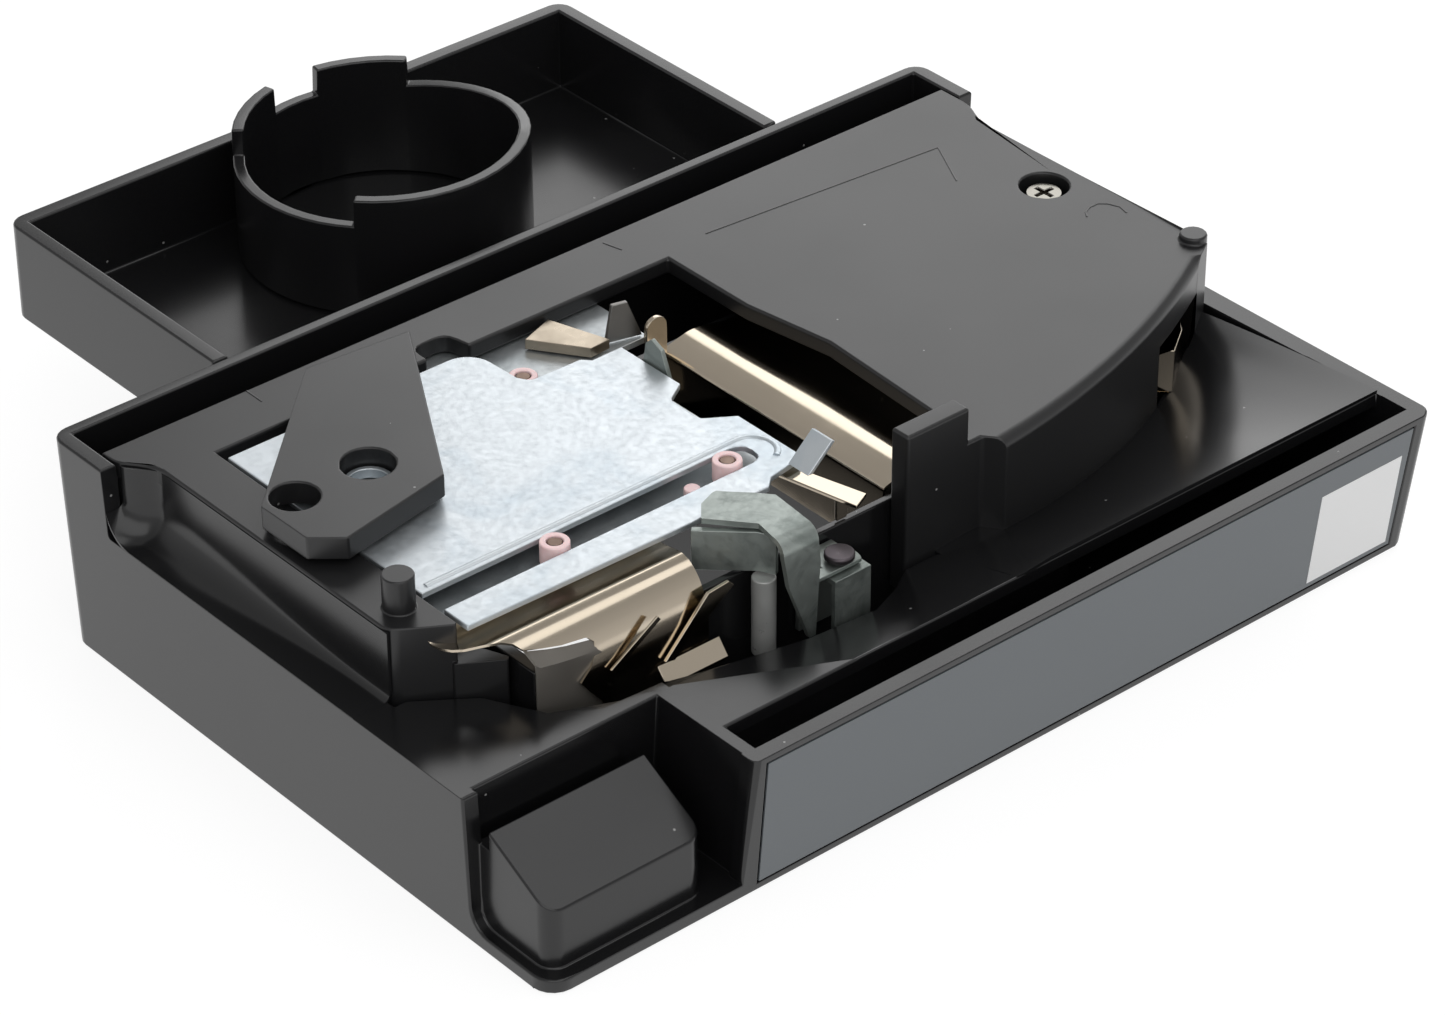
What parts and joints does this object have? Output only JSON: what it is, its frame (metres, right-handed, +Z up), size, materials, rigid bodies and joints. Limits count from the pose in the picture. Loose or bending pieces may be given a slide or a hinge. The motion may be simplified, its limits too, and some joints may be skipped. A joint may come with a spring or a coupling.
{
  "type": "slide stack loader",
  "caption": "Slide stack loader for a rotary-tray projector, underside up: housing, deck with transport, slide chambers and tray with hub collar.",
  "frame": {"origin": "bottom centre of the bounding box, with the loader lying underside up", "axes": "+X along the label wall, +Y from the label wall to the tray with the hub collar, +Z up"},
  "size_m": [0.18, 0.1798, 0.0452],
  "materials": {
    "black_plastic": "semi-gloss moulded black",
    "label": "plain satin label",
    "zinc": "blue-white zinc passivate, mottled",
    "lever_zinc": "grey-green zinc, satin",
    "dull_steel": "dull steel",
    "spring_steel": "drawn steel",
    "nickel": "polished nickel",
    "pink_nylon": "pink nylon"
  },
  "bodies": {
    "housing": {"outer_housing": "black_plastic", "label_strip": "label", "hub_tray": "black_plastic", "hub_collar": "black_plastic", "deck_cover": "black_plastic", "cover_screw": "nickel", "wall_clip": "nickel", "chamber_frame": "black_plastic", "follower_rail": "spring_steel", "rail_bracket_left": "black_plastic", "rail_bracket_middle": "black_plastic", "rail_bracket_right": "black_plastic", "takeup_spring": "spring_steel", "supply_spring": "spring_steel", "chassis_plate": "dull_steel", "roller_left_rivet": "dull_steel", "roller_right_rivet": "dull_steel", "roller_back_rivet": "dull_steel", "chassis_screw_front": "dull_steel", "chassis_screw_back": "dull_steel", "chassis_screw_right": "dull_steel", "stop_peg": "pink_nylon", "slide_guide": "nickel", "upright_tab": "dull_steel", "trip_strap": "nickel", "entry_strip": "nickel", "exit_chute": "nickel", "exit_rib": "nickel", "exit_blade_inner": "nickel", "exit_blade_outer": "nickel", "pivot_bracket": "lever_zinc", "pivot_rivet": "dull_steel"},
    "shuttle": {"shuttle_plate": "zinc", "shuttle_tab": "lever_zinc", "push_finger": "lever_zinc", "lever_eyelet": "zinc"},
    "index_lever": {"index_lever": "black_plastic"},
    "transfer_lever": {"transfer_lever": "lever_zinc", "lever_flange": "lever_zinc", "lever_rod": "nickel"},
    "roller_left": {"roller_left": "pink_nylon"},
    "roller_right": {"roller_right": "pink_nylon"},
    "roller_back": {"roller_back": "pink_nylon"},
    "takeup_follower": {"takeup_follower": "black_plastic"},
    "supply_follower": {"supply_follower": "black_plastic"}
  },
  "joints": [
    {"name": "shuttle_slide", "type": "slide", "parent": "housing", "child": "shuttle", "axis": [1, 0, 0], "range_m": [0, 0.0045]},
    {"name": "index_lever_pivot", "type": "hinge", "parent": "shuttle", "child": "index_lever", "pos_m": [-0.0625, -0.01291, 0.041], "axis": [0, 0, 1], "range_deg": [-8, 8]},
    {"name": "transfer_lever_pivot", "type": "hinge", "parent": "housing", "child": "transfer_lever", "pos_m": [-0.0138, -0.06431, 0.0305], "axis": [0, 0, 1], "range_deg": [0, 6.2]},
    {"name": "roller_left_spin", "type": "hinge", "parent": "housing", "child": "roller_left", "pos_m": [-0.0504, -0.04211, 0.037], "axis": [0, 0, 1], "continuous": true},
    {"name": "roller_right_spin", "type": "hinge", "parent": "housing", "child": "roller_right", "pos_m": [-0.0168, -0.04211, 0.037], "axis": [0, 0, 1], "continuous": true},
    {"name": "roller_back_spin", "type": "hinge", "parent": "housing", "child": "roller_back", "pos_m": [-0.0234, -0.00091, 0.0365], "axis": [0, 0, 1], "continuous": true},
    {"name": "takeup_slide", "type": "slide", "parent": "housing", "child": "takeup_follower", "axis": [1, 0, 0], "range_m": [-0.048, 0], "stiffness_N_per_m": 15, "springref_m": 0.02, "deforming": ["takeup_spring"]},
    {"name": "supply_slide", "type": "slide", "parent": "housing", "child": "supply_follower", "axis": [1, 0, 0], "range_m": [0, 0.029], "stiffness_N_per_m": 15, "springref_m": -0.02, "deforming": ["supply_spring"]}
  ],
  "couplings": [
    {"joint": "transfer_lever_pivot", "follows": "shuttle_slide", "rad_per_m": 23.271}
  ]
}
